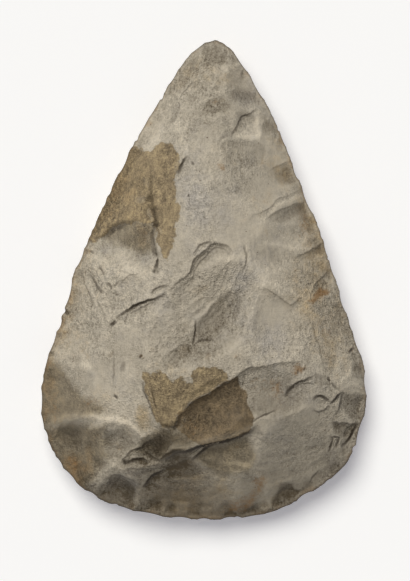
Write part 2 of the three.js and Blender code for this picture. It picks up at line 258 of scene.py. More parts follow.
# Narrow raised ridges between scars: half width, height, path.
RIDGES = [
    (0.8, 0.45, [(9.3, 6.6), (9.5, 5), (10, 2.5), (11, 0.4), (12.3, -1.4), (14, -2), (15.6, -2.8),
        (17.4, -4.2)]),
    (0.6, 0.35, [(10.4, -3.6), (10.2, -7.5), (9.8, -12.5), (9, -16.6)]),
    (0.7, 0.45, [(3.6, 27.6), (5.4, 29.1), (8.2, 29), (11.4, 28.4)]),
    (0.5, 0.35, [(11.8, 29.2), (11.4, 32.2), (11, 35)]),
    (0.9, 0.55, [(-18.8, 5.6), (-17, 4.1), (-13.2, 0.8), (-10.7, -2.5)]),
    (0.7, 0.5, [(13.6, 13.6), (15.8, 15), (18.2, 16.6), (20, 18)]),
    (0.45, 0.5, [(-29.4, -28.4), (-26.8, -27.8), (-23.2, -27.9), (-20.9, -28.7), (-18.2, -28.9),
        (-16, -29.5), (-13.8, -30.7), (-12.2, -31.9)]),
    (0.35, 0.35, [(-24.2, -30.6), (-22.8, -30), (-20.4, -30.1)]),
    (0.5, 0.4, [(-25, 1.4), (-23, -2.4), (-20.8, -6.4), (-18.6, -9.4)]),
    (0.5, 0.35, [(-23.6, 3.4), (-21.6, 0.2), (-20.2, -3.4)]),
    (0.5, 0.35, [(-20.6, -2.8), (-19, -1.4), (-17.6, -2.2)]),
    (0.6, 0.35, [(-21.4, -43), (-19.6, -39.6), (-17.6, -37.6)]),
    (0.5, 0.4, [(-14.8, -39.8), (-12.6, -39.4), (-10, -38.6)]),
    (0.5, 0.4, [(-2.2, -36.8), (-0.2, -38.2), (1.3, -40), (1.9, -41)]),
    (0.6, 0.25, [(2.6, -38.6), (6, -38.2), (9.2, -39.2), (11, -41.2)]),
    (0.7, 0.4, [(16.4, -41.4), (14.8, -44.6), (13, -47.6)]),
    (0.5, 0.3, [(-19.6, -38.4), (-21.4, -40.4), (-23.4, -42.8)]),
    (0.5, 0.4, [(-12.6, -43.4), (-12.8, -45.4), (-13.6, -47.4)]),
    (0.5, 0.35, [(-3.6, 35), (-0.3, 36.9), (2.2, 38), (5.5, 39.3), (9.4, 40.6)]),
    (0.4, 0.3, [(-2.6, 29), (-0.3, 27.1), (1.4, 25.8)]),
    (0.4, 0.3, [(-8, 31.6), (-6.4, 33.9), (-5.5, 35.6), (-5.7, 37.4), (-7.4, 38.3), (-9.4, 37.6)]),
    (0.5, 0.3, [(-4.7, 39), (-2.6, 40.7), (-0.2, 42), (3, 42.6)]),
    (0.4, 0.25, [(1, 21), (1.2, 17), (1.4, 12.5)]),
]

# Rows of ripples that a blow leaves in a scar: the scar's middle and half sizes and turn, the point that they
# spread from, their spacing and height.
RIPPLES = [
    (1.5, -5, 12, 6, 45, -9, 6, 1.25, 0.1), (-17, -44, 4.2, 4, 0, -10, -38, 0.8, 0.1),
    (21, -35, 10, 7.5, 35, 12, -22, 1.7, 0.05), (12, 22, 9, 6, -60, 24, 26, 1.7, 0.08),
    (-24, -4, 7, 4, 62, -32, -12, 0.9, 0.1), (26.5, -10, 7, 4, -70, 36, -6, 0.8, 0.1),
    (-25.5, -41, 5, 4, 0, -14, -33, 1, 0.1), (15, 3, 8, 5, -30, 26, 9, 1.3, 0.1),
    (-3, -44, 10, 6, 0, -4, -30, 1.8, 0.1), (-15, 6, 6, 5, 15, -26, 9, 1.1, 0.1),
]

# Streaky ground: middle, half sizes and turn of the area, and the streaks' direction, width and height.
STREAKS = [
    (0, -4, 13, 8, 45, 42, 0.7, 0.22), (-4, -13, 8, 5, 40, 44, 0.8, 0.22),
    (26, -8, 12, 4, -72, -74, 0.6, 0.2), (-25, -5, 12, 6, 70, -50, 0.7, 0.2),
    (-17, 0, 7, 4, 0, -30, 0.7, 0.18), (22, 8, 9, 5, -60, 30, 0.8, 0.2),
    (8, 20, 12, 5, -65, -60, 0.9, 0.16), (-10, -38, 8, 5, 20, 10, 0.6, 0.25),
    (20, -36, 11, 7, 30, 20, 0.8, 0.2), (4, -38, 10, 6, 0, -20, 0.8, 0.18),
    (-16, -20, 6, 8, 0, 88, 0.7, 0.16), (4, 40, 7, 9, 0, 50, 0.8, 0.18),
    (-17, 17, 9, 5, 66, 70, 0.7, 0.16),
]

# Notches in the edge: place, half width, depth.
NOTCHES = [
    (-28.9, -6.5, 0.7, 0.7), (-25.6, 4.4, 0.5, 0.5), (-8.6, 38.4, 0.7, 0.6),
    (-13.8, 29.6, 0.6, 0.5), (-31.2, -13, 0.5, 0.4), (15.6, 31.6, 0.5, 0.4),
    (26, 4.6, 0.5, 0.4), (33.6, -20.4, 0.6, 0.5), (31.4, -35.2, 0.7, 0.5),
    (7, -49.6, 0.8, 0.5), (-18.4, -47.2, 0.8, 0.5),
]

# Stains with a clear edge, as areas on the plan. Each kind has one colour.
TAN_STAINS = [
    [(-15.4, 27.6), (-13, 27.2), (-10.8, 26.8), (-9, 28.6), (-6.6, 28.4), (-5.2, 26.6), (-4.9, 23.4),
        (-5.6, 22.2), (-5.2, 19.6), (-5.8, 17.4), (-5.9, 16.3), (-4.8, 14.4), (-5, 12.2), (-5.8, 10.7),
        (-5.4, 9.2), (-6.3, 7.4), (-6.7, 5.1), (-7.6, 4), (-8.7, 5.1), (-9.3, 8.5), (-10.6, 11.4),
        (-14.1, 12.2), (-17.5, 11.6), (-19.3, 10.1), (-21, 8.6), (-26, 7), (-22, 22)],
    [(-12.4, -19), (-10.9, -18.6), (-10.4, -19.7), (-9.1, -18.6), (-7.6, -19), (-7.1, -20.2), (-6.6, -21),
        (-5.4, -20.6), (-4.6, -19.8), (-3.6, -20.6), (-2.4, -20.4), (-2.4, -18.6), (-1.3, -17.4),
        (0.8, -18.1), (2.4, -17.9), (4, -18.2), (5.2, -19.8), *LONG_STEP, (-6, -30.2), (-8.5, -30.2),
        (-9.6, -28.4), (-10.9, -25.6), (-12, -23.4), (-12.5, -21.2)],
]
BROWN_STAINS = [
    [(7.4, -19.4), (7.7, -21.8), (8.7, -22.7), (9.2, -25.1), (10.1, -27.3), (10.6, -30), (9.8, -31.2),
        (6.9, -32.4), (4.3, -33.2), (0, -34.1), (-1.6, -33.2), (-3.2, -32), (-4.6, -31), (-5.8, -29.8),
        *reversed(LONG_STEP), (7, -19.5)],
]
OLIVE_STAINS = [
    [(-36, -17.6), (-31, -17.2), (-28.6, -19), (-26.8, -21.4), (-25, -24), (-22.4, -25.6), (-20.9, -26.6),
        (-21.4, -27.6), (-24, -28.2), (-28, -28.8), (-31, -30.6), (-36, -31)],
    [(-36, -30), (-31, -30.6), (-27.6, -29.4), (-24.6, -29.8), (-20.4, -30), (-20, -33), (-19.6, -36),
        (-20.6, -38.4), (-22.6, -40.8), (-24.6, -43.8), (-31, -42)],
    [(-20.6, 8.8), (-17.5, 11.8), (-14, 12.4), (-10.5, 12), (-9.7, 8), (-10.2, 6.2), (-12, 5.4),
        (-14.5, 5.8), (-16.6, 7), (-18.6, 7.8)],
    [(-15.7, -36.3), (-13.9, -35.1), (-12.9, -34), (-12.2, -32.4), (-10.4, -31.2), (-8.4, -30),
        (-5.2, -29.4), (-3.6, -30.8), (-1.8, -32), (-0.2, -33.2), (-4.4, -34.9), (-6.5, -35.9),
        (-8.6, -36.8), (-10.5, -36.4), (-11.8, -35.7), (-13.4, -35.7)],
    [(-1.5, -36.4), (0.6, -34.4), (4, -33.4), (9, -32), (10.6, -36), (9.6, -39.5), (4, -40.5), (1.2, -39)],
]

# Chips are lighter or darker partly in their own colour and partly by painted light and shade.
# Small flat chips with a sharp border, as areas on the plan, and how much lighter or darker each is.
FACETS = [
    (-0.08, [(3.6, 27.2), (5.6, 28.9), (8, 28.8), (12, 28.5), (13.6, 26.6), (11.6, 23.6), (7.6, 22.8),
        (4.6, 24.4)]),
    (0.24, [(8, 31), (11.2, 34.2), (12.2, 33.5), (11.8, 29), (9, 29.2), (6.6, 30)]),
    (-0.14, [(12.3, 33.5), (13.4, 33.2), (15.2, 31), (15.2, 29.4), (12, 29)]),
    (0.2, [(0.4, -21.9), (1, -20.6), (2.6, -21.6), (2.4, -22.3)]),
    (0.12, [(-4.4, -25), (-3, -23.4), (-0.4, -21.9), (0.6, -22.4), (-2, -24.2), (-3.6, -25.2)]),
    (-0.12, [(16, -41.8), (17.4, -42.2), (19.2, -43.4), (20.4, -43.6), (19.4, -45.2), (18.2, -46.2),
        (15.6, -47.2), (14, -47.7), (14.6, -46), (15.6, -43.6)]),
    (0.2, [(11, -45.6), (13.4, -44.8), (15.3, -44.2), (14, -47.4), (11.6, -47.8)]),
    (-0.1, [(-7.5, -38.4), (-3, -36.8), (-1.9, -37.4), (0.6, -39), (1.9, -40.8), (-2, -41), (-7, -41)]),
    (-0.16, [(30.9, -15), (31.6, -15.6), (33.4, -20), (33.2, -20.8), (31.2, -20.6), (30.9, -18.8)]),
    (0.3, [(1.6, 44.4), (4.4, 44.6), (5.4, 43.6), (3.8, 42.8), (2, 43)]),
    (-0.16, [(-0.2, 35.2), (1.2, 36.9), (4.2, 37.4), (5.6, 36.2), (4.4, 34.6), (1.6, 34.4)]),
    (0.2, [(-9.4, 37.5), (-7.2, 37.6), (-6.2, 35.5), (-7.2, 33.2), (-9.2, 34)]),
    (0.3, [(-6.4, 32.4), (-5, 33.6), (-3.2, 33), (-3.8, 31), (-5.6, 30.4)]),
    (0.28, [(-6, 28.6), (-4.2, 29.6), (-2.8, 28.2), (-3.2, 26.8), (-5, 26.6)]),
    (0.12, [(19.6, 17.6), (16.4, 16.6), (13, 14.2), (13.2, 12.9), (15, 14.1), (17.5, 15.1), (20.6, 16.5)]),
    (-0.12, [(20.8, 16.4), (17, 14.9), (14.8, 14), (13.2, 12.6), (16, 11.6), (19.6, 12.4), (22.6, 12)]),
    (-0.16, [(22, 6.8), (24.3, 8.4), (25.2, 6.2), (24.2, 5.2), (22.8, 5.4)]),
    (0.08, [(9.6, 8), (10.8, 9.6), (12.6, 8), (13, 3), (12.6, 0.4), (12.2, -1.4), (10.6, 1.5), (9.8, 5)]),
    (0.24, [(27.6, -15.9), (29, -16.2), (30.5, -17.1), (30.5, -18.8), (29, -20.9), (27.9, -21.8),
        (26.7, -20.9), (25.8, -19.7), (26.7, -18), (27.4, -16.8)]),
    (0.2, [(21.9, -14.8), (23.5, -15.2), (24.4, -18.8), (22.4, -19.2), (21.7, -17)]),
    (0.9, [(-24, -30.7), (-22.5, -29.7), (-20.6, -29.6), (-20.7, -30.3), (-22.4, -30.4), (-23.6, -31)]),
    (0.26, [(28.8, -21.8), (30.2, -20.9), (32, -21.2), (33.4, -22.4), (33.7, -23.8), (31.7, -23.2),
        (30.5, -23.6), (29.1, -23)]),
    (-0.12, [(29.6, -23.9), (31.4, -23.6), (34, -24.2), (34, -26), (33, -28.7), (30.8, -28.7), (29.3, -27.5),
        (28.7, -26)]),
    (-0.3, [(26.7, -29.6), (29, -29.9), (32, -29.9), (31.4, -31.3), (30.5, -32.5), (29, -32.5),
        (27.9, -31.9), (26.7, -31.3)]),
    (-0.14, [(22.8, -19.7), (24.9, -19.4), (26, -20.6), (25.8, -21.8), (23.1, -21.5)]),
    (0.16, [(22.8, -24.9), (24, -24.7), (25.2, -25.2), (25.2, -26.2), (24, -26.7), (22.8, -26.3)]),
    (-0.16, [(-20.4, -29.9), (-18, -29.7), (-16, -30.2), (-14.7, -30.8), (-13, -32.2), (-13, -33.6),
        (-15.4, -35.6), (-17.2, -36.6), (-19.4, -37), (-20.2, -34)]),
    (0.18, [(-18.8, -36.4), (-16.9, -37), (-15.8, -38.1), (-18, -39), (-19.2, -38)]),
    (0.22, [(-6.6, -33.4), (-5.2, -32.5), (-3.4, -34), (-4.8, -34.6), (-6.4, -34.9)]),
    (0.14, [(-18.2, -1.9), (-17, -0.7), (-14.9, -1), (-15.2, -2.5), (-16.4, -4), (-18.2, -3.7)]),
    (-0.04, [(-21.8, 7), (-19.7, 8), (-18.2, 7.3), (-18.5, 5.5), (-20, 4.6), (-21.5, 5.5)]),
    (0.2, [(-23.9, 5.3), (-22.1, 5.3), (-22.1, 4.4), (-23.9, 4.4)]),
    (0.14, [(-16.8, -8.3), (-15.2, -8.1), (-14.5, -9.2), (-15.4, -10), (-16.6, -9.4)]),
    (0.24, [(-25.2, -15.2), (-22.8, -15.6), (-23, -18.2), (-24.2, -18.8), (-25.4, -17.6)]),
]

# Soft clouds of weathered tone and of painted light and shade: middle, half sizes, turn, and how much lighter
# or darker.
TONE_CLOUDS = [
    (-12, 32, 3.5, 6, -30, 0.14), (8.6, 37, 2.6, 1.8, -50, -0.1),
    (5.5, 35.6, 2, 1.6, 0, -0.12), (-12, 4.4, 2.2, 1.8, 0, -0.3),
    (24.8, -15, 1.4, 3, 0, -0.1), (-17.5, -27, 5, 2, 0, 0.14),
    (18, -26.8, 4.4, 1.5, 22, -0.24), (5, -14, 3.4, 2.2, 20, -0.08),
    (5.5, -43, 6, 2.4, 10, 0.14), (-2.8, -37.6, 2.4, 2.4, 0, -0.12),
    (-19.6, 14.6, 1.4, 3.4, -25, 0.14), (20.6, 14.5, 1.6, 5, 25, -0.12),
    (-20, 0, 7, 5, -20, 0.14), (-14, -3, 4, 3, 20, 0.1),
    (-9.4, 1.6, 3, 2, 0, 0.12), (-1.5, 17, 4.5, 8, 0, 0.08),
    (-17, 2.5, 6, 4, 0, 0.08), (8, 38.4, 3, 1.8, -20, -0.12),
    (18, 22, 3.4, 3, 0, -0.12), (-16, -25, 5, 7, 0, 0.08),
    (3.2, -9, 7, 3.4, 47, -0.24), (-3.6, -15.8, 5.4, 2.2, 42, -0.18),
    (16, -13.4, 5, 4.4, 0, 0.14), (-7, -7.6, 3, 3.2, 0, 0.16),
    (-18.6, 10.6, 3.2, 0.9, 36, -0.3), (9.5, 4, 4, 8, 10, 0.12),
    (13.5, -1, 4, 6, 0, 0.09), (17, -21, 5, 2.6, 5, -0.14),
    # The broad dark cloud over the butt is painted shade, where the face turns away from the light.
    (-2, -45.4, 24, 7, 0, -0.42), (-8, -44, 6, 5, 0, -0.18),
    (-6, -38, 8, 3.5, 20, -0.2), (12, -25.6, 7, 3.6, 10, -0.3),
    (20, -36, 12, 7, 30, -0.14), (27, -38, 4, 3, -40, -0.16),
    (-27.4, -32.6, 3.2, 3.2, 20, -0.28), (-22.2, -34, 1.8, 4.4, 0, -0.12),
    (-21.5, -40, 4, 1.8, 45, -0.08), (-11, -34.4, 2.8, 2, 20, -0.38),
    (-13, -36.7, 2.8, 1, 8, -0.24), (-12.6, -38.2, 2.8, 0.9, 8, -0.28),
    (-25.8, -29.3, 2.6, 0.9, 0, -0.34), (-22.4, -31.7, 1.6, 0.8, 0, -0.16),
    (-3.4, -32.6, 1.8, 1, -35, -0.22), (24.6, -3.2, 1.6, 0.7, 20, -0.25),
    (16.6, 22.2, 2.6, 1.6, 30, -0.12), (5.6, -21.4, 2.4, 1.2, 30, 0.3),
    (-3.2, -26.8, 2.6, 1.2, 45, 0.24), (-1.6, -31.2, 3, 1.4, -25, 0.2),
    (26.4, -17.5, 1, 3, 10, -0.12), (10.6, -44, 1.2, 3.6, -28, -0.12),
    (5.4, -48.6, 1.8, 0.8, 5, -0.3), (-4.6, 3, 1.8, 2.4, 0, -0.07),
    (-5, -37.8, 5, 2.6, 12, -0.26), (-14.5, -39.4, 5, 1.8, 0, -0.15),
    (-17.2, -37.4, 3, 1.6, 0, -0.12), (-17, -43.6, 3.6, 3, 0, -0.3),
    (-12.8, -44.6, 1.2, 2.6, 5, -0.12), (-25, -45, 5, 4, 0, -0.16),
    (-20.8, -41.2, 1, 3, -38, 0.12), (-22.2, -30.1, 1.6, 0.4, 5, 0.3),
    (-18, -28.2, 4, 0.8, -10, 0.24), (-14, -30, 2.2, 0.6, -30, 0.26),
    (-17, -26.2, 3.6, 2.8, 0, 0.34), (-17.5, -15.5, 6, 3.4, 0, -0.14),
    (-3.2, -13.6, 2.4, 1.6, 30, -0.26), (1.6, -23.4, 5, 1.8, 30, 0.46),
    (5.5, 0.5, 2.6, 3.6, 0, 0.12), (3, -11, 5, 2.4, 20, -0.08),
    (-1, 33.5, 6, 4.6, 0, -0.14), (-11.1, 31, 2.2, 2.4, -30, 0.18),
    (8.6, -38.2, 1.8, 0.8, -15, 0.34), (5, -38.4, 3, 1.6, 10, 0.12),
    (9.6, -44.2, 3.4, 2.6, 10, 0.16), (17.6, -44, 2.6, 2.4, 25, -0.12),
    (26, 8, 2.5, 10, -20, -0.1), (-11.4, 15.5, 1.5, 7, 4, -0.16),
    (-8, 17, 2.2, 9, 0, -0.1), (5.6, 37.4, 5.5, 1.3, 18, -0.18),
    (14.6, 31, 1.4, 4, 25, -0.16), (2, 44.5, 6, 5, 0, -0.25),
    (9, 32, 2.4, 2, -50, 0.1), (-12.4, -27.8, 1.4, 3.4, 18, 0.08),
    (-7, -32.4, 3.2, 3, -30, -0.62), (-27.4, 4, 2, 6, -22, -0.06),
    (-1.4, -12.5, 0.7, 0.4, 20, 0.3), (-18.9, -1.4, 0.6, 0.4, 0, 0.3),
    (-14.6, 2, 5.6, 0.8, -52, 0.16), (20.4, -24.2, 3, 1.6, 12, -0.04),
]

# Rough and smooth ground: the same, with how much stronger or weaker the grain is.
ROUGH_CLOUDS = [
    (-17, -3, 9, 7, 0, 0.4), (-11, 14, 5, 7, 0, 0.5), (-13, 7, 5, 4, 0, -0.4),
    (-11, -18, 4, 6, 0, 0.4), (24, -3, 4, 4, 0, 0.8), (24, -24, 7, 5, 0, 0.3),
    (-3, -12, 5, 4, 0, 0.5), (-21, 15, 4, 9, -25, 0.6), (-3, 26, 4, 6, 0, 0.3),
    (0, 38, 8, 9, 0, 0.25), (-14, -36, 7, 5, 0, 0.2), (-17, -44, 5, 4, 0, -0.5),
    (14, -19, 8, 3, 0, 0.3), (-5, -46, 16, 6, 0, -0.5), (9, -43, 9, 5, 0, -0.2),
    (4, 15, 5, 7, 0, -0.2), (13, -6, 7, 5, 0, -0.2), (-28, -27, 4, 7, 0, -0.3),
]

# Clouds of colour: the same, with how warm (1) or blue-grey (-1).
WARM_CLOUDS = [
    (-3, 44, 2.5, 6, -35, 0.5), (-20, 16, 5, 9, -25, 0.9), (-29, -6, 5, 12, -20, 0.55),
    (-32, -24, 4, 8, 0, 0.9), (24, 3, 4, 14, -20, 0.6), (24, -11, 4, 6, 0, 0.3),
    (28, -12, 4, 10, 0, 0.4), (-12.4, 9.2, 2.4, 2.6, 0, 0.9), (-20, 6.4, 2, 1.6, 0, -0.8),
    (-12, 4.4, 2.2, 1.4, 0, -0.6), (17, -12, 4, 4, 0, -0.4), (-2, 17, 3.5, 10, 0, -0.7),
    (8, -1, 3, 8, 0, -0.7), (12, -15, 4, 6, 0, -0.6), (-16, -20, 3, 8, 0, -0.5),
    (22, -22, 5, 4, 0, -0.5), (-16, -43, 5, 4, 0, -1), (0, -46, 20, 6, 0, 0.45),
    (16.8, 21.6, 2.4, 2.2, 0, 0.6), (21.4, 13.5, 2, 6, 25, 0.9), (-23.4, -34.5, 1.2, 4, 0, 0.7),
    (8, 38, 4, 3, 0, -0.5), (4, 14, 6, 4, 0, -0.4), (20, -35, 10, 6, 0, -0.2),
    (6, -38, 6, 3, 0, 0.1), (-12.4, -28, 1.8, 3.6, 20, 1), (-27, -39, 4, 4, 0, 1),
]

# Rusty spots: middle, half sizes, turn, strength.
RUST_SPOTS = [
    (24.4, -3, 1.9, 1.1, 20, 2.3), (22.4, -4.6, 1.4, 0.5, 10, 1.2), (12, -21, 4, 2.4, 0, 0.45),
    (21.2, 10.8, 1.6, 4.4, 20, 0.7), (16.4, 21, 2, 1.2, 0, 0.3), (9.6, -45.6, 1.4, 2.2, -35, 0.8),
    (25.6, -10.6, 2.2, 2.6, 0, 0.45), (19.8, -18.4, 2, 0.9, 10, 1.1), (3.7, 23, 0.8, 0.9, 0, 1.1),
    (-23.4, -25.2, 1.8, 1.6, 0, 0.6), (-27.2, -38, 2.2, 2.4, 20, 0.7), (-19.6, 17, 1.6, 5, -22, 0.45),
    (-12.7, -15.4, 0.9, 0.7, 0, 0.8), (-17.8, -23.6, 0.9, 0.8, 0, 0.5), (2.3, 36.7, 1, 0.5, 10, 0.6),
    (-2, -30.6, 3.4, 2.2, 30, 0.5), (6.6, -47.2, 2.6, 1.6, 10, 0.8), (11.6, -42.2, 1.2, 2.2, -20, 0.95),
    (15.2, -23, 1.1, 2.6, 0, 0.75), (30.9, -14.7, 0.8, 0.8, 0, 0.8), (6.5, -15.5, 1.3, 0.6, 15, 0.6),
    (-8, 6, 0.9, 2, 0, 0.4), (-31, -28, 1.6, 5, 0, 0.5), (-27.6, 0, 1.4, 4, -20, 0.4),
]


# Noise

def value_noise(x, y, seed):
    """Smooth random values from -1 to 1 over a plan measured in cells."""
    table = np.random.default_rng(seed).uniform(-1, 1, (256, 256))
    column = np.floor(x).astype(int)
    row = np.floor(y).astype(int)
    across = x - column
    along = y - row
    across = across * across * across * (across * (across * 6 - 15) + 10)
    along = along * along * along * (along * (along * 6 - 15) + 10)
    at = lambda i, j: table[(column + i) % 256, (row + j) % 256]
    near = at(0, 0) * (1 - across) + at(1, 0) * across
    far = at(0, 1) * (1 - across) + at(1, 1) * across
    return near * (1 - along) + far * along


def fractal_noise(x, y, size, octaves, seed, roughness=0.5):
    """Layers of noise, each half the size of the one before, with the largest features this size."""
    total = np.zeros_like(x)
    strength = 1.0
    for octave in range(octaves):
        turn = 0.7 * octave
        turned_x = (x * math.cos(turn) - y * math.sin(turn)) / size
        turned_y = (x * math.sin(turn) + y * math.cos(turn)) / size
        total += strength * value_noise(turned_x + 17.3 * octave, turned_y + 41.9 * octave, seed + octave)
        strength *= roughness
        size *= 0.5
    return total


def ridged_noise(x, y, size, octaves, seed, roughness=0.5):
    """The same with sharp ridges between soft hollows."""
    total = np.zeros_like(x)
    strength = 1.0
    for octave in range(octaves):
        total += strength * (0.35 - np.abs(fractal_noise(x, y, size, 1, seed + octave)))
        strength *= roughness
        size *= 0.55
    return total


# Curves and areas on the plan

def smooth_curve(points, closed=False, steps=6):
    """Points of a smooth curve through these points."""
    p = np.array(points, float)
    if len(p) < 3:
        return p
    count = len(p) if closed else len(p) - 1
    at = lambda i: p[i % len(p)] if closed else p[min(max(i, 0), len(p) - 1)]
    out = []
    for i in range(count):
        p0, p1, p2, p3 = at(i - 1), at(i), at(i + 1), at(i + 2)
        if not closed and i == 0:
            p0 = 2 * p1 - p2
        if not closed and i == count - 1:
            p3 = 2 * p2 - p1
        gaps = [max(np.sum((b - a) ** 2), 1e-8) ** 0.25 for a, b in ((p0, p1), (p1, p2), (p2, p3))]
        leave = (p1 - p0) / gaps[0] - (p2 - p0) / (gaps[0] + gaps[1]) + (p2 - p1) / gaps[1]
        arrive = (p2 - p1) / gaps[1] - (p3 - p1) / (gaps[1] + gaps[2]) + (p3 - p2) / gaps[2]
        leave = leave * gaps[1]
        arrive = arrive * gaps[1]
        for t in np.arange(steps) / steps:
            bend = (-3 * p1 + 3 * p2 - 2 * leave - arrive) * t * t
            out.append(p1 + leave * t + bend + (2 * p1 - 2 * p2 + leave + arrive) * t ** 3)
    if not closed:
        out.append(p[-1])
    return np.array(out)


def along_path(x, y, path, reach):
    """Where each point lies by a path: its distance, whether it is on the right, and the share of the length.

    Only points within reach of the path are measured, and the others are infinitely far off."""
    distance = np.full(x.shape, np.inf)
    right = np.zeros(x.shape, bool)
    share = np.zeros(x.shape)
    near = (
        (x > path[:, 0].min() - reach) & (x < path[:, 0].max() + reach)
        & (y > path[:, 1].min() - reach) & (y < path[:, 1].max() + reach)
    )
    px = x[near]
    py = y[near]
    best = np.full(px.shape, np.inf)
    best_right = np.zeros(px.shape, bool)
    best_share = np.zeros(px.shape)
    lengths = np.hypot(*(path[1:] - path[:-1]).T)
    starts = np.concatenate([[0], np.cumsum(lengths)])
    for i, (start, end) in enumerate(zip(path[:-1], path[1:])):
        ax, ay = end - start
        t = np.clip(((px - start[0]) * ax + (py - start[1]) * ay) / (ax * ax + ay * ay), 0, 1)
        dx = px - start[0] - t * ax
        dy = py - start[1] - t * ay
        d = np.hypot(dx, dy)
        closer = d < best
        best = np.where(closer, d, best)
        best_right = np.where(closer, ax * dy - ay * dx < 0, best_right)
        best_share = np.where(closer, (starts[i] + t * lengths[i]) / starts[-1], best_share)
    distance[near] = best
    right[near] = best_right
    share[near] = best_share
    return distance, right, share


def inside_distance(x, y, area):
    """Distance into a closed area, negative outside it."""
    distance = np.full(x.shape, np.inf)
    inside = np.zeros(x.shape, bool)
    for start, end in zip(area, np.roll(area, -1, axis=0)):
        ax, ay = end - start
        t = np.clip(((x - start[0]) * ax + (y - start[1]) * ay) / (ax * ax + ay * ay + 1e-9), 0, 1)
        distance = np.minimum(distance, np.hypot(x - start[0] - t * ax, y - start[1] - t * ay))
        crosses = (start[1] > y) != (end[1] > y)
        at = start[0] + (y - start[1]) / (ay if abs(ay) > 1e-9 else 1e-9) * ax
        inside ^= crosses & (x < at)
    return np.where(inside, distance, -distance)


def turned(x, y, middle_x, middle_y, half_length, half_width, turn):
    """Place in an ellipse's own axes, where its rim is at 1."""
    c = math.cos(math.radians(turn))
    s = math.sin(math.radians(turn))
    dx = x - middle_x
    dy = y - middle_y
    return (dx * c + dy * s) / half_length, (dy * c - dx * s) / half_width


def clouds(x, y, spots):
    """Sum of soft round clouds."""
    total = np.zeros_like(x)
    for *place, amount in spots:
        a, b = turned(x, y, *place)
        total += amount * np.exp(-(a * a + b * b))
    return total


# The outline

OUTLINE = smooth_curve(OUTLINE_STATIONS, closed=True, steps=70)
OUTLINE = np.vstack([OUTLINE, OUTLINE[:1]])
ROUND_LENGTHS = np.concatenate([[0], np.cumsum(np.hypot(*np.diff(OUTLINE, axis=0).T))])


def outline_at(share):
    """Points of the outline at these shares of the way round."""
    length = (share % 1) * ROUND_LENGTHS[-1]
    return np.interp(length, ROUND_LENGTHS, OUTLINE[:, 0]), np.interp(length, ROUND_LENGTHS, OUTLINE[:, 1])


def edge_nibbles(share):
    """How far small chips bite into the edge at these shares of the way round, in plan units."""
    rng = np.random.default_rng(SEED)
    shortest, longest = NIBBLE_LENGTHS
    sizes = shortest + (longest - shortest) * rng.uniform(0, 1, 400) ** 3
    cuts = np.concatenate([[0], np.cumsum(sizes)])
    cuts = cuts[cuts < ROUND_LENGTHS[-1] - 1] / ROUND_LENGTHS[-1]
    depths = np.minimum(sizes[:len(cuts)] * rng.uniform(0.02, 0.14, len(cuts)), NIBBLE_DEPTH)
    which = np.searchsorted(cuts, share % 1, side="right") - 1
    begin = cuts[which]
    end = np.append(cuts[1:], 1.0)[which]
    t = np.clip((share % 1 - begin) / (end - begin), 0, 1)
    bite = depths[which] * np.sin(math.pi * t) ** 0.7
    edge_x, edge_y = outline_at(share)
    for notch_x, notch_y, half, deep in NOTCHES:
        away = np.hypot(edge_x - notch_x, edge_y - notch_y)
        bite = np.maximum(bite, deep * np.exp(-((away / half) ** 2)))
    return bite


# Heights

def edge_height(to_edge, share):
    """The height of the edge, which winds up and down a little."""
    turn = 2 * math.pi * share
    return EDGE_HEIGHT + EDGE_WAVE * to_edge ** 4 * (np.sin(6 * turn) + 0.5 * np.sin(17 * turn + 1))


def bowl_depth(x, y, scars):
    """Depth of the deepest of these bowl-shaped scars."""
    depth = np.zeros_like(x)
    for *place, deep in scars:
        reach = max(place[2], place[3])
        near = (np.abs(x - place[0]) < reach) & (np.abs(y - place[1]) < reach)
        a, b = turned(x[near], y[near], *place)
        depth[near] = np.maximum(depth[near], deep * np.maximum(0, 1 - a * a - b * b))
    return depth


def edge_chips():
    """Small scars struck in from all round the edge."""
    rng = np.random.default_rng(SEED + 1)
    chips = []
    for share in np.sort(rng.uniform(0, 1, CHIP_COUNT)):
        strike = np.array(outline_at(share))
        inward = CROWN - strike
        inward /= np.hypot(*inward)
        length = rng.uniform(1.0, 3.2)
        turn = math.degrees(math.atan2(inward[1], inward[0])) + rng.uniform(-25, 25)
        at = strike + inward * length * rng.uniform(0.1, 0.7)
        chips.append((at[0], at[1], length, length * rng.uniform(0.45, 0.8), turn, rng.uniform(0.25, 1.0)))
    return chips


def end_fade(share):
    """Fades a path out towards both its ends."""
    return np.sin(math.pi * np.clip(share, 0, 1)) ** 0.5


def rim_fade(to_edge, width):
    """Fades relief out towards the edge of the axe, over this share of the way."""
    return np.clip((1 - to_edge) / width, 0, 1)


def step_depth(x, y):
    """How deep the steps fall on the left of their paths, before the ground rises again."""
    depth = np.zeros_like(x)
    for drop, fall, run, darkness, points in STEPS:
        distance, right, share = along_path(x, y, smooth_curve(points), 3 * run)
        distance = np.where(np.isinf(distance), 99, distance)
        below = drop * end_fade(share) * (1 - np.exp(-distance / fall)) * np.exp(-((distance / run) ** 2))
        depth += np.where(right, 0, below)
    return depth


def rounded_along(x, y, points, half, reach):
    """A soft bead along a path, from 0 to 1."""
    distance, right, share = along_path(x, y, smooth_curve(points), reach)
    return end_fade(share) * np.exp(-((distance / half) ** 2))


def crack_depth(x, y):
    depth = np.zeros_like(x)
    for half, deep, darkness, points in CRACKS:
        depth += deep * rounded_along(x, y, points, half, 5 * half)
    return depth


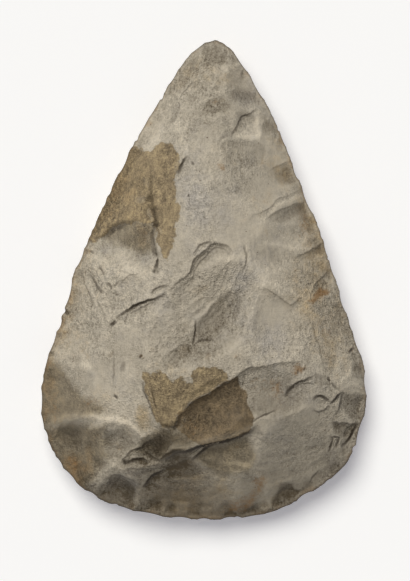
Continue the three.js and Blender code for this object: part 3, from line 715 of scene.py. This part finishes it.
def line_fields(x, y):
    """How each point lies to the nearest step or crack: its distance in widths of the painted shadow line,
    which runs from -1 to 0 with the lower ground beyond -1, and how dark that painted shadow is."""
    lines = []
    for drop, fall, run, darkness, points in STEPS:
        lines.append((0.26 + 0.4 * darkness ** 2, 0.0, darkness, points))
    for half, deep, darkness, points in CRACKS:
        lines.append((2 * half, 0.5, darkness, points))
    nearest = np.full_like(x, 9.0)
    line = np.full_like(x, 9.0)
    dark = np.zeros_like(x)
    for width, shift, darkness, points in lines:
        distance, right, share = along_path(x, y, smooth_curve(points), 5 * width)
        away = np.where(np.isinf(distance), 99, distance) / width
        closer = away < nearest
        nearest = np.where(closer, away, nearest)
        line = np.where(closer, np.where(right, away, -away) - shift, line)
        dark = np.where(closer, darkness * end_fade(share) * np.clip(2 - away / 2, 0, 1), dark)
    return line, dark


def ridge_height(x, y):
    height = np.zeros_like(x)
    for half, tall, points in RIDGES:
        height += tall * rounded_along(x, y, points, half, 4 * half)
    return height


def soft_area(x, y, place):
    """About 1 inside an ellipse, and fading out round its rim."""
    a, b = turned(x, y, *place)
    return np.exp(-((a * a + b * b) ** 2))


def ripple_height(x, y):
    """Rings of ripples that spread from where the blow fell."""
    height = np.zeros_like(x)
    for *place, from_x, from_y, spacing, tall in RIPPLES:
        away = np.hypot(x - from_x, y - from_y)
        height += tall * soft_area(x, y, place) * np.sin(2 * math.pi * away / spacing)
    return height


def streak_height(x, y):
    """Fine torn ground, drawn out along each area's direction."""
    height = np.zeros_like(x)
    for number, (*place, direction, width, tall) in enumerate(STREAKS):
        along, across = turned(x, y, 0, 0, 5 * width, width, direction)
        torn = ridged_noise(along, across, 1.4, 3, 2001 + 20 * number, 0.6)
        height += 1.5 * tall * soft_area(x, y, place) * torn
    return height


def facets(x, y):
    """How far the small flat chips are cut, and how much lighter or darker they are, partly by painted light
    and shade.
    """
    cut = np.zeros_like(x)
    tone_and_painted_light = np.zeros_like(x)
    for lighter, area in FACETS:
        inside = np.clip(0.5 + inside_distance(x, y, np.array(area, float)) / FACET_BORDER, 0, 1)
        cut = np.maximum(cut, FACET_CUT * inside)
        tone_and_painted_light += lighter * inside
    return cut, tone_and_painted_light


def wandering(x, y, amount, size, octaves, seeds, roughness=0.5):
    """The plan pushed about a little, so that what is laid on it has uneven borders."""
    pushed_x = x + amount * fractal_noise(x, y, size, octaves, seeds[0], roughness)
    pushed_y = y + amount * fractal_noise(x, y, size, octaves, seeds[1], roughness)
    return pushed_x, pushed_y


def worked_plan(x, y):
    """The plan that scars, steps, cracks and chips of the upper face are laid on."""
    return wandering(x, y, WANDER, 3.2, 4, (101, 151), 0.6)


def roughness(x, y, seed, spots=()):
    """How strong the grain of the stone is."""
    patches = 0.5 * fractal_noise(x, y, 7.0, 3, seed)
    return np.clip(0.8 + clouds(x, y, spots) + patches, 0.3, 2.2)


def upper_roughness(x, y):
    return roughness(x, y, 1901, ROUGH_CLOUDS)


def upper_surface(x, y, to_edge, share):
    """Height of the smooth blank, and how far the worked face lies above or below it."""
    fx, fy = worked_plan(x, y)
    grain = upper_roughness(x, y)
    blank = UPPER_RISE * (1 - to_edge ** FULLNESS)
    cut = SCAR_CUT * bowl_depth(fx, fy, UPPER_SCARS)
    cut += SMALL_SCAR_CUT * bowl_depth(fx, fy, SMALL_SCARS)
    cut += step_depth(fx, fy)
    cut = np.minimum(cut, DEEPEST_SHARE * blank)
    cut += bowl_depth(fx, fy, edge_chips()) * rim_fade(to_edge, 0.02)
    fine = ridge_height(fx, fy) + ripple_height(fx, fy) + streak_height(fx, fy) - crack_depth(fx, fy)
    fine -= facets(fx, fy)[0]
    fine += SWELLS * fractal_noise(x, y, 5.0, 4, 201, 0.6)
    fine += CRUMPLE * ridged_noise(fx, fy, 4.5, 4, 221, 0.65) * grain
    fine += GRAIN * fractal_noise(x, y, 0.9, 2, 251, 0.8) * grain
    fine *= rim_fade(to_edge, 0.03)
    return edge_height(to_edge, share) + blank, np.maximum(fine - cut, -CUT_LIMIT * blank)


def lower_scars():
    """Scars of the hidden face, struck from all round the edge."""
    vary = lambda number, kind: math.sin(number * 2.399 + kind * 1.7)
    scars = []
    for count, middle, half_length, half_width, deep in LOWER_SCAR_ROWS:
        for number in range(count):
            strike = np.array(outline_at((number + 0.35 * vary(number, 1) + 1) / count))
            inward = CROWN - strike
            length = np.hypot(*inward)
            at = strike + inward * (middle + 0.04 * vary(number, 2))
            turn = math.degrees(math.atan2(inward[1], inward[0])) + 8 * vary(number, 4)
            half = half_width * (1 + 0.2 * vary(number, 3))
            scars.append((at[0], at[1], length * half_length, half, turn, deep * (1 + 0.3 * vary(number, 5))))
    return scars


def lower_surface(x, y, to_edge, share):
    """Height of the hidden face, which is flat where the axe rests."""
    rest_share = REST_WIDTH / WIDTH
    rise = EDGE_HEIGHT / (1 - rest_share ** FULLNESS)
    fx, fy = wandering(x, y, HIDDEN_WANDER, 3.2, 3, (301, 351))
    blank = rise * (1 - to_edge ** FULLNESS)
    cut = np.minimum(bowl_depth(fx, fy, lower_scars()), DEEPEST_SHARE * blank)
    fine = 0.25 * fractal_noise(x, y, 5.0, 4, 401, 0.55)
    return np.maximum(0, edge_height(to_edge, share) - blank + cut + rim_fade(to_edge, 0.03) * fine)


# The mesh

def ring_points(rings, last_count):
    """Shares from the crown to the edge and of the way round, ring by ring, and each ring's first place."""
    to_edge = []
    share = []
    firsts = []
    for ring in range(rings + 1):
        count = max(1, 6 * ring) if ring < rings else last_count
        firsts.append(len(to_edge))
        to_edge += [ring / rings] * count
        share += [i / count for i in range(count)]
    return np.array(to_edge), np.array(share), firsts + [len(to_edge)]


def ring_triangles(firsts):
    """Triangles that join each ring to the next, counter-clockwise as seen from below."""
    triangles = []
    for inner, outer, after in zip(firsts, firsts[1:], firsts[2:]):
        inner_count = outer - inner
        outer_count = after - outer
        i = 0
        j = 0
        while i < (inner_count if inner_count > 1 else 0) or j < outer_count:
            inner_next = (i + 1) / inner_count if inner_count > 1 else 2
            outer_next = (j + 1) / outer_count
            a = inner + i % inner_count
            b = outer + j % outer_count
            if outer_next <= inner_next and j < outer_count:
                triangles.append((b, outer + (j + 1) % outer_count, a))
                j += 1
            else:
                triangles.append((b, inner + (i + 1) % inner_count, a))
                i += 1
    return triangles


def plan_places(to_edge, share):
    """Where on the plan these shares lie, with the edge nibbled."""
    edge_x, edge_y = outline_at(share)
    bite = edge_nibbles(share) * to_edge ** 30
    toward_x = CROWN[0] - edge_x
    toward_y = CROWN[1] - edge_y
    length = np.hypot(toward_x, toward_y)
    x = CROWN[0] + to_edge * (edge_x - CROWN[0]) + bite * toward_x / length
    y = CROWN[1] + to_edge * (edge_y - CROWN[1]) + bite * toward_y / length
    return x, y


def above_smoothed(detail, faces, rounds):
    """How far each vertex lies above the average of those round it."""
    start = faces.ravel()
    end = np.roll(faces, -1, axis=1).ravel()
    neighbours = np.bincount(start, minlength=len(detail))
    smoothed = detail
    for _ in range(rounds):
        smoothed = np.bincount(start, smoothed[end], len(detail)) / neighbours
    return detail - smoothed


def distance_from_edge(x, y, to_edge):
    """About how far in from the edge each point lies."""
    return (1 - to_edge) * np.hypot(x - CROWN[0], y - CROWN[1])


def upper_fields(x, y, to_edge):
    """What the skin of the upper face is like at each point: stains, tone with painted light and shade, rust,
    grain and painted shadow lines.
    """
    wx, wy = worked_plan(x, y)
    fx = wx + STAIN_WANDER * fractal_noise(x, y, 1.6, 4, 501, 0.7)
    fy = wy + STAIN_WANDER * fractal_noise(x, y, 1.6, 4, 551, 0.7)

    def stain(areas):
        """Distance into the nearest of these areas, as far as it matters."""
        depths = [inside_distance(fx, fy, np.array(area, float)) for area in areas]
        return np.clip(np.max(depths, axis=0), -3, 3)

    line, line_shadow = line_fields(wx, wy)
    from_edge = distance_from_edge(x, y, to_edge)
    # Painted shade along the edge, where the face rolls away from the light, stronger towards the butt.
    towards_butt = np.clip((10 - y) / 50, 0, 1)
    edge_shade = (EDGE_SHADE + BUTT_SHADE * towards_butt) * np.exp(-((from_edge / SHADE_REACH) ** 2))
    return {
        "tan": stain(TAN_STAINS),
        "brown": stain(BROWN_STAINS),
        "olive": stain(OLIVE_STAINS),
        # Painted light and shade from the clouds, chips and edge, with the skin's own lighter and darker
        # tone.
        "tone_and_painted_light": clouds(fx, fy, TONE_CLOUDS) + facets(wx, wy)[1] - edge_shade,
        "warm": clouds(fx, fy, WARM_CLOUDS),
        "rust": clouds(fx, fy, RUST_SPOTS),
        "rough": upper_roughness(x, y),
        "from_edge": from_edge,
        "line": line,
        "line_shadow": line_shadow,
    }


def lower_fields(x, y, to_edge):
    """The hidden face has the same skin, with a few broad stains."""
    return {
        "rough": roughness(x, y, 1951),
        "from_edge": distance_from_edge(x, y, to_edge),
        "line": np.full_like(x, 9.0),
        "line_shadow": np.zeros_like(x),
        "tan": 4 * fractal_noise(x, y, 26, 4, 601) - 2.0,
        "brown": 4 * fractal_noise(x, y, 22, 4, 651) - 3.0,
        "olive": 4 * fractal_noise(x, y, 24, 4, 701) - 2.2,
        "tone_and_painted_light": 0.12 * fractal_noise(x, y, 14, 3, 751),
        "warm": 0.7 * fractal_noise(x, y, 18, 3, 801),
        "rust": np.clip(0.8 * fractal_noise(x, y, 12, 4, 851) - 0.45, 0, 1),
    }


def build_axe():
    """One closed mesh of both faces, which share the ring of points along the edge."""
    edge_count = 6 * UPPER_RINGS
    upper_t, upper_s, upper_firsts = ring_points(UPPER_RINGS, edge_count)
    lower_t, lower_s, lower_firsts = ring_points(LOWER_RINGS, edge_count)
    ux, uy = plan_places(upper_t, upper_s)
    lx, ly = plan_places(lower_t, lower_s)
    blank, detail = upper_surface(ux, uy, upper_t, upper_s)
    top = high[2] / MM
    uz = top - CROWN_ROUNDING * np.log1p(np.exp((top - blank - detail) / CROWN_ROUNDING))
    lz = lower_surface(lx, ly, lower_t, lower_s)
    inner = len(lx) - edge_count
    shift = len(ux)
    edge_first = len(ux) - edge_count
    number = lambda v: shift + v if v < inner else edge_first + v - inner
    faces = [(a, c, b) for a, b, c in ring_triangles(upper_firsts)]
    relief = above_smoothed(detail, np.array(faces), RELIEF_ROUNDS)
    faces += [tuple(number(v) for v in face) for face in ring_triangles(lower_firsts)]
    x = np.concatenate([ux, lx[:inner]]) * WIDTH / PLAN_WIDTH * MM
    y = np.concatenate([uy, ly[:inner]]) * LENGTH / PLAN_LENGTH * MM
    z = np.concatenate([uz, lz[:inner]]) * MM
    mesh = bpy.data.meshes.new("flint_axe")
    mesh.from_pydata(np.column_stack([x, y, z]).tolist(), [], faces)
    mesh.update()
    seen = {**upper_fields(ux, uy, upper_t), "relief": relief}
    hidden = {**lower_fields(lx, ly, lower_t), "relief": np.zeros_like(lx)}
    for name, values in seen.items():
        attribute = mesh.attributes.new(name, "FLOAT", "POINT")
        attribute.data.foreach_set("value", np.concatenate([values, hidden[name][:inner]]).astype(np.float32))
    mesh.polygons.foreach_set("use_smooth", [True] * len(mesh.polygons))
    axe = bpy.data.objects.new("flint_axe", mesh)
    bpy.context.collection.objects.link(axe)
    return axe


# Materials

def rgb(red, green, blue):
    """A colour as it looks on a screen, from 0 to 255, as the light it stands for."""
    def light(v):
        v = v / 255
        return v / 12.92 if v <= 0.04045 else ((v + 0.055) / 1.055) ** 2.4
    return (light(red), light(green), light(blue), 1)


COOL_SKIN = rgb(178, 171, 161)
PLAIN_SKIN = rgb(187, 177, 159)
WARM_SKIN = rgb(177, 156, 121)
RUSTY_STAIN = rgb(172, 134, 92)
WORN_RIM = rgb(142, 114, 80)
RUST = rgb(144, 106, 58)
SPECKS = rgb(84, 62, 42)
PEPPER = rgb(104, 92, 68)
# Painted shade along the very edge, where the face falls away.
PAINTED_EDGE_SHADE = rgb(84, 70, 50)
# Painted shadow under steps and in cracks.
PAINTED_STEP_SHADOW = rgb(52, 42, 29)
# Painted highlight on the lips above steps and cracks.
PAINTED_LIP_HIGHLIGHT = rgb(206, 196, 176)
# Darker tone, which is partly painted shade, leans towards this warm dark colour; the other means no
# darkening.
SHADE_AND_DARK_TONE = (0.2, 0.17, 0.125, 1)
UNDARKENED = (1, 1, 1, 1)

# Kinds of stain, from the lowest coat up: light and deep colour, softness and unevenness of its border,
# strength, and how dark its rim is.
STAIN_KINDS = {
    "olive": (rgb(142, 128, 102), rgb(118, 106, 84), 1.0, 1.0, 0.75, 0.0),
    "tan": (rgb(168, 148, 112), rgb(128, 111, 84), 0.2, 0.9, 0.92, 0.14),
    "brown": (rgb(128, 109, 80), rgb(98, 83, 61), 0.25, 0.8, 0.92, 0.06),
}


class Nodes:
    """Builds the nodes of one material."""

    def __init__(self, name):
        self.material = bpy.data.materials.new(name)
        self.material.use_nodes = True
        self.tree = self.material.node_tree
        self.shader = self.tree.nodes["Principled BSDF"]

    def add(self, kind, **settings):
        node = self.tree.nodes.new(kind)
        for key, value in settings.items():
            setattr(node, key, value)
        return node

    def put(self, socket, value):
        if isinstance(value, bpy.types.NodeSocket):
            self.tree.links.new(value, socket)
        else:
            socket.default_value = value

    def field(self, name):
        return self.add("ShaderNodeAttribute", attribute_name=name).outputs["Fac"]

    def noise(self, size_mm, detail=3, roughness=0.55, offset=0, stretch=1):
        """Noise around 0, from about -0.5 to 0.5, with features this size, stretched along the axe."""
        node = self.add("ShaderNodeTexNoise")
        place = self.add("ShaderNodeVectorMath", operation="MULTIPLY_ADD")
        self.put(place.inputs[0], self.add("ShaderNodeTexCoord").outputs["Object"])
        place.inputs[1].default_value = (1, 1 / stretch, 1)
        place.inputs[2].default_value = (offset, 2 * offset, 3 * offset)
        self.put(node.inputs["Vector"], place.outputs[0])
        node.inputs["Scale"].default_value = 1 / (size_mm * MM)
        node.inputs["Detail"].default_value = detail
        node.inputs["Roughness"].default_value = roughness
        return self.math("SUBTRACT", node.outputs["Fac"], 0.5)

    def math(self, operation, a, b=0.0):
        node = self.add("ShaderNodeMath", operation=operation)
        self.put(node.inputs[0], a)
        self.put(node.inputs[1], b)
        return node.outputs[0]

    def total(self, *parts):
        """Sum of values, each times its weight."""
        sum_so_far = 0.0
        for value, weight in parts:
            node = self.add("ShaderNodeMath", operation="MULTIPLY_ADD")
            self.put(node.inputs[0], value)
            node.inputs[1].default_value = weight
            self.put(node.inputs[2], sum_so_far)
            sum_so_far = node.outputs[0]
        return sum_so_far

    def line(self, value, low, high, to_low=0.0, to_high=1.0):
        """Even change from to_low to to_high as value goes from low to high."""
        return self.ramp(value, low, high, to_low, to_high, "LINEAR")

    def ramp(self, value, low, high, to_low=0.0, to_high=1.0, kind="SMOOTHSTEP"):
        """Smooth change from to_low to to_high as value goes from low to high."""
        node = self.add("ShaderNodeMapRange", interpolation_type=kind)
        self.put(node.inputs["Value"], value)
        node.inputs["From Min"].default_value = low
        node.inputs["From Max"].default_value = high
        node.inputs["To Min"].default_value = to_low
        node.inputs["To Max"].default_value = to_high
        return node.outputs["Result"]

    def mix(self, share, a, b, blend="MIX"):
        node = self.add("ShaderNodeMix", data_type="RGBA", blend_type=blend)
        self.put(node.inputs["Factor"], share)
        self.put(node.inputs["A"], a)
        self.put(node.inputs["B"], b)
        return node.outputs["Result"]

    def scaled(self, colour, factor):
        """A colour made lighter or darker by a factor."""
        node = self.add("ShaderNodeVectorMath", operation="SCALE")
        self.put(node.inputs[0], colour)
        self.put(node.inputs["Scale"], factor)
        return node.outputs[0]


class Flint(Nodes):
    """Weathered flint, whose skin is laid on coat by coat."""

    def __init__(self):
        super().__init__("weathered_flint")
        fine = self.noise(0.6, 2, 0.6)
        fibre = self.noise(0.9, 3, 0.6, 0.9, 3.5)
        self.grain = self.noise(1.5, 3, 0.65, 0.3)
        self.blotch = self.noise(5, 5, 0.65, 0.7)
        self.broad = self.noise(22, 4, 0.55, 1.1)
        self.weave = self.total((fine, 1.15), (self.grain, 1.0), (fibre, 0.9))
        self.texture = self.math("MULTIPLY", self.weave, self.field("rough"))
        self.warmth = self.total(
            (self.field("warm"), 0.5), (self.broad, 0.9), (self.blotch, 0.9), (self.grain, 0.3)
        )

    def bare_skin(self):
        """Cool grey to grey-cream to warm."""
        skin = self.mix(self.ramp(self.warmth, -0.6, 0.0), COOL_SKIN, PLAIN_SKIN)
        return self.mix(self.ramp(self.warmth, 0.0, 0.7), skin, WARM_SKIN)

    def stained(self, under, name):
        """One kind of stain laid over the skin, mottled inside and darker along its rim."""
        colour, deep_colour, soft, uneven, strength, rim = STAIN_KINDS[name]
        edge = self.total((self.field(name), 1.0), (self.blotch, uneven), (self.grain, uneven))
        mottle = self.total((self.blotch, 1.0), (self.weave, 0.5))
        own = self.mix(self.ramp(mottle, -0.3, 0.3), deep_colour, colour)
        own = self.mix(self.ramp(self.warmth, 0.2, 0.8, 0.0, 0.45), own, RUSTY_STAIN)
        own = self.scaled(own, self.ramp(edge, 0.0, 0.8, 1 - rim, 1.0))
        return self.mix(self.ramp(edge, -soft, soft, 0.0, strength), under, own)

    def worn(self, skin):
        """Brown patches where the edge is worn."""
        near_edge = self.ramp(self.field("from_edge"), 0.0, 2.0, 0.4, 0.0)
        patches = self.math("ADD", near_edge, self.math("MULTIPLY", self.blotch, 2.0))
        return self.mix(self.ramp(patches, 0.25, 0.6, 0.0, 0.4), skin, WORN_RIM)

    def shaded(self, skin):
        """Darker in hollows and paler on raised ground, and lighter or darker by the tone, which is partly
        painted light and shade.
        """
        hollow = self.ramp(self.field("relief"), -0.5, 0.0, -0.16, 0.0)
        raised = self.ramp(self.field("relief"), 0.0, 0.3, 0.0, 0.13)
        tone_and_painted_light = self.total(
            (self.field("tone_and_painted_light"), 1.0), (self.broad, 0.25), (self.blotch, 0.45), (self.texture, 0.9),
            (hollow, 1.0), (raised, 1.0),
        )
        # Darker tone, partly painted shade, is tinted warm; lighter tone, partly painted light, is made
        # brighter.
        skin = self.mix(1.0, skin, self.mix(self.line(tone_and_painted_light, -0.8, 0.0), SHADE_AND_DARK_TONE, UNDARKENED), "MULTIPLY")
        return self.scaled(skin, self.line(tone_and_painted_light, 0.0, 0.5, 0.99, 1.46))

    def spotted(self, skin):
        """Rust, dark specks and fine pepper, and the painted shade along the very edge."""
        rust = self.total((self.field("rust"), 0.42), (self.noise(1.5, 4, 0.75, 3.1), 1.1))
        skin = self.mix(self.ramp(rust, 0.12, 0.60, 0.0, 0.75), skin, RUST)
        skin = self.mix(self.ramp(self.noise(1.1, 1, 0.5, 4.7), 0.24, 0.30, 0.0, 0.7), skin, SPECKS)
        pepper = self.ramp(self.noise(0.8, 1, 0.5, 6.1), 0.10, 0.26, 0.0, 0.3)
        skin = self.mix(self.math("MULTIPLY", pepper, self.field("rough")), skin, PEPPER)
        return self.mix(self.ramp(self.field("from_edge"), 0.0, 0.7, 0.45, 0.0), skin, PAINTED_EDGE_SHADE)

    def lined(self, skin):
        """The painted shadow line under each step and in each crack, and the painted highlight on the lip
        above it.
        """
        line = self.math("ADD", self.field("line"), self.math("MULTIPLY", self.grain, 0.7))
        under = self.math("MULTIPLY", self.ramp(line, -1.2, -0.5), self.ramp(line, -0.1, 0.3, 1.0, 0.0))
        above = self.math("MULTIPLY", self.ramp(line, 0.1, 0.6), self.ramp(line, 0.8, 2.4, 1.0, 0.0))
        dark = self.field("line_shadow")
        skin = self.mix(self.math("MULTIPLY", under, dark), skin, PAINTED_STEP_SHADOW)
        return self.mix(self.math("MULTIPLY", above, self.ramp(dark, 0.1, 0.5, 0.0, 0.14)), skin, PAINTED_LIP_HIGHLIGHT)

    def finished(self, skin):
        """The skin's colour, its dull gloss and the finest relief on the shader."""
        self.put(self.shader.inputs["Base Color"], skin)
        self.put(self.shader.inputs["Roughness"], self.ramp(self.blotch, -0.4, 0.4, 0.56, 0.72))
        self.shader.inputs["Specular IOR Level"].default_value = 0.3
        bump = self.add("ShaderNodeBump")
        bump.inputs["Strength"].default_value = 1.0
        bump.inputs["Distance"].default_value = 0.5 * MM
        self.put(bump.inputs["Height"], self.texture)
        self.put(self.shader.inputs["Normal"], bump.outputs["Normal"])
        return self.material


def flint():
    stone = Flint()
    skin = stone.bare_skin()
    for name in STAIN_KINDS:
        skin = stone.stained(skin, name)
    for coat in (stone.worn, stone.shaded, stone.spotted, stone.lined):
        skin = coat(skin)
    return stone.finished(skin)


def pale_surface():
    n = Nodes("pale_surface")
    n.shader.inputs["Base Color"].default_value = (0.94, 0.936, 0.894, 1)
    n.shader.inputs["Roughness"].default_value = 0.9
    n.shader.inputs["Specular IOR Level"].default_value = 0.0
    n.shader.inputs["Emission Color"].default_value = (0.848, 0.86, 1.0, 1)
    n.shader.inputs["Emission Strength"].default_value = 0.25
    return n.material


# The scene

def build_floor():
    bpy.ops.mesh.primitive_plane_add(size=6, location=(0, 0, 0))
    floor = bpy.context.object
    floor.name = "floor"
    floor.data.materials.append(pale_surface())


def build_light():
    sun = bpy.data.lights.new("soft_window", "SUN")
    sun.energy = 2.28
    sun.color = (1.0, 0.985, 0.952)
    sun.angle = math.radians(42)
    lamp = bpy.data.objects.new("soft_window", sun)
    bpy.context.collection.objects.link(lamp)
    height = math.radians(56)
    side = math.radians(24)
    toward = Vector((-math.sin(side) * math.cos(height), math.cos(side) * math.cos(height), math.sin(height)))
    lamp.rotation_euler = toward.to_track_quat("Z", "Y").to_euler()
    world = bpy.data.worlds.new("studio")
    world.use_nodes = True
    background = world.node_tree.nodes["Background"]
    background.inputs["Color"].default_value = (1.0, 0.995, 0.99, 1)
    background.inputs["Strength"].default_value = 0.175
    bpy.context.scene.world = world


def build_camera():
    """Looks straight down, so that the axe takes the place and size that it has in the photograph."""
    picture_height = 581
    picture_middle = Vector((205, 290.5))
    axe_middle = Vector((203.5, 280))
    axe_length_in_picture = 480
    pixels_per_metre = axe_length_in_picture / (LENGTH * MM)
    distance = 1.4
    sensor_height = 24
    camera = bpy.data.cameras.new("camera")
    camera.sensor_fit = "VERTICAL"
    camera.sensor_height = sensor_height
    camera.lens = sensor_height * pixels_per_metre * (distance - EDGE_HEIGHT * MM) / picture_height
    camera.clip_end = 20
    holder = bpy.data.objects.new("camera", camera)
    bpy.context.collection.objects.link(holder)
    offset = (picture_middle - axe_middle) / pixels_per_metre
    holder.location = (offset.x, -offset.y, distance)
    bpy.context.scene.camera = holder


axe = build_axe()
axe.data.materials.append(flint())
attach(axe, "root")
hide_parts("hand_axe")
build_floor()
build_light()
build_camera()
bpy.context.scene.view_settings.view_transform = "Standard"
